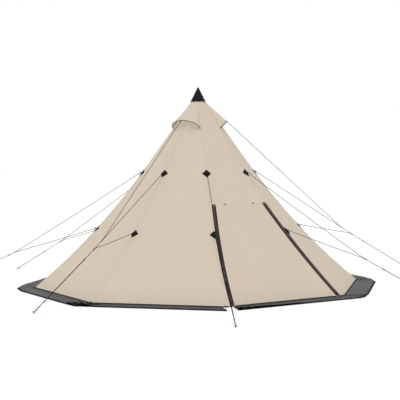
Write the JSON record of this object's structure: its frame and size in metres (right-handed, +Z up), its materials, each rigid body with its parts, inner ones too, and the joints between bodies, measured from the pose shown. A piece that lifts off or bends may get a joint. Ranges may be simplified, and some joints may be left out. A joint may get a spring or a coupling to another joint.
{
  "type": "pyramid tent",
  "caption": "Eight-sided pole tent with a centre pole, zipped front door, two hooded side vents, ground skirt, apex cap, and guy lines with runners and pegs.",
  "frame": {"origin": "on the ground under the centre pole, at the middle of the pole foot's underside", "axes": "+Z up along the pole, -Y out through the door, +X to the right as seen by someone facing the door from outside"},
  "size_m": [7.3426, 7.3656, 3.1935],
  "materials": {
    "canopy_cotton": "matt woven cotton",
    "dark_cloth": "matt coated cloth",
    "cap_cloth": "satin coated cloth",
    "zip_tape": "woven tape with a coil",
    "vent_net": "fine net",
    "guy_cord": "braided cord",
    "black_plastic": "moulded",
    "peg_steel": "galvanised rod",
    "pole_aluminium": "drawn tube",
    "hoop_rod": "pultruded rod"
  },
  "bodies": {
    "tent": {"wall_panel_1": "canopy_cotton", "wall_panel_2": "canopy_cotton", "wall_panel_3": "canopy_cotton", "wall_panel_4": "canopy_cotton", "wall_panel_5": "canopy_cotton", "wall_panel_6": "canopy_cotton", "wall_panel_7": "canopy_cotton", "front_panel": "canopy_cotton", "vent_hood_left": "canopy_cotton", "vent_hood_right": "canopy_cotton", "ground_skirt": "dark_cloth", "apex_cap": "cap_cloth", "door_zip_left": "zip_tape", "door_zip_right": "zip_tape", "vent_mesh_left": "vent_net", "vent_mesh_right": "vent_net", "guy_line_1": "guy_cord", "guy_line_2": "guy_cord", "guy_line_3": "guy_cord", "guy_line_4": "guy_cord", "guy_line_5": "guy_cord", "guy_line_6": "guy_cord", "guy_line_7": "guy_cord", "guy_line_8": "guy_cord", "pole_foot": "black_plastic", "pole_head": "black_plastic", "guy_peg_1": "peg_steel", "guy_peg_2": "peg_steel", "guy_peg_3": "peg_steel", "guy_peg_4": "peg_steel", "guy_peg_5": "peg_steel", "guy_peg_6": "peg_steel", "guy_peg_7": "peg_steel", "guy_peg_8": "peg_steel", "corner_peg_1": "peg_steel", "corner_peg_2": "peg_steel", "corner_peg_3": "peg_steel", "corner_peg_4": "peg_steel", "corner_peg_5": "peg_steel", "corner_peg_6": "peg_steel", "corner_peg_7": "peg_steel", "corner_peg_8": "peg_steel", "pole_section_1": "pole_aluminium", "pole_section_2": "pole_aluminium", "pole_section_3": "pole_aluminium", "pole_section_4": "pole_aluminium", "vent_hoop_left": "hoop_rod", "vent_hoop_right": "hoop_rod"},
    "door": {"door_panel": "canopy_cotton", "door_skirt": "dark_cloth"},
    "zip_slider_left": {"zip_slider_left": "black_plastic"},
    "zip_slider_right": {"zip_slider_right": "black_plastic"},
    "tensioner_1": {"tensioner_1": "black_plastic"},
    "tensioner_2": {"tensioner_2": "black_plastic"},
    "tensioner_3": {"tensioner_3": "black_plastic"},
    "tensioner_4": {"tensioner_4": "black_plastic"},
    "tensioner_5": {"tensioner_5": "black_plastic"},
    "tensioner_6": {"tensioner_6": "black_plastic"},
    "tensioner_7": {"tensioner_7": "black_plastic"},
    "tensioner_8": {"tensioner_8": "black_plastic"}
  },
  "joints": [
    {"name": "door_lift", "type": "hinge", "parent": "tent", "child": "door", "pos_m": [0, -1.12019, 1.2645], "axis": [-1, 0, 0], "range_deg": [0, 60]},
    {"name": "zip_slider_left_run", "type": "hinge", "parent": "tent", "child": "zip_slider_left", "pos_m": [1.51705, -9.16505, 6.74494], "axis": [0.9417, 0, -0.3365], "range_deg": [0, 9.6]},
    {"name": "zip_slider_right_run", "type": "hinge", "parent": "tent", "child": "zip_slider_right", "pos_m": [-1.51705, -9.16505, 6.74494], "axis": [0.9417, 0, 0.3365], "range_deg": [0, 9.6]},
    {"name": "tensioner_1_slide", "type": "slide", "parent": "tent", "child": "tensioner_1", "axis": [-0.4039, -0.8307, -0.3831], "range_m": [-0.05, 0.75]},
    {"name": "tensioner_2_slide", "type": "slide", "parent": "tent", "child": "tensioner_2", "axis": [0.3629, -0.8345, -0.4146], "range_m": [-0.05, 0.75]},
    {"name": "tensioner_3_slide", "type": "slide", "parent": "tent", "child": "tensioner_3", "axis": [0.7884, -0.3266, -0.5214], "range_m": [-0.05, 0.75]},
    {"name": "tensioner_4_slide", "type": "slide", "parent": "tent", "child": "tensioner_4", "axis": [0.8407, 0.3482, -0.4146], "range_m": [-0.05, 0.75]},
    {"name": "tensioner_5_slide", "type": "slide", "parent": "tent", "child": "tensioner_5", "axis": [0.3482, 0.8407, -0.4146], "range_m": [-0.05, 0.75]},
    {"name": "tensioner_6_slide", "type": "slide", "parent": "tent", "child": "tensioner_6", "axis": [-0.3726, 0.8043, -0.4628], "range_m": [-0.05, 0.6]},
    {"name": "tensioner_7_slide", "type": "slide", "parent": "tent", "child": "tensioner_7", "axis": [-0.8407, 0.3482, -0.4146], "range_m": [-0.05, 0.75]},
    {"name": "tensioner_8_slide", "type": "slide", "parent": "tent", "child": "tensioner_8", "axis": [-0.7884, -0.3266, -0.5214], "range_m": [-0.05, 0.75]}
  ]
}
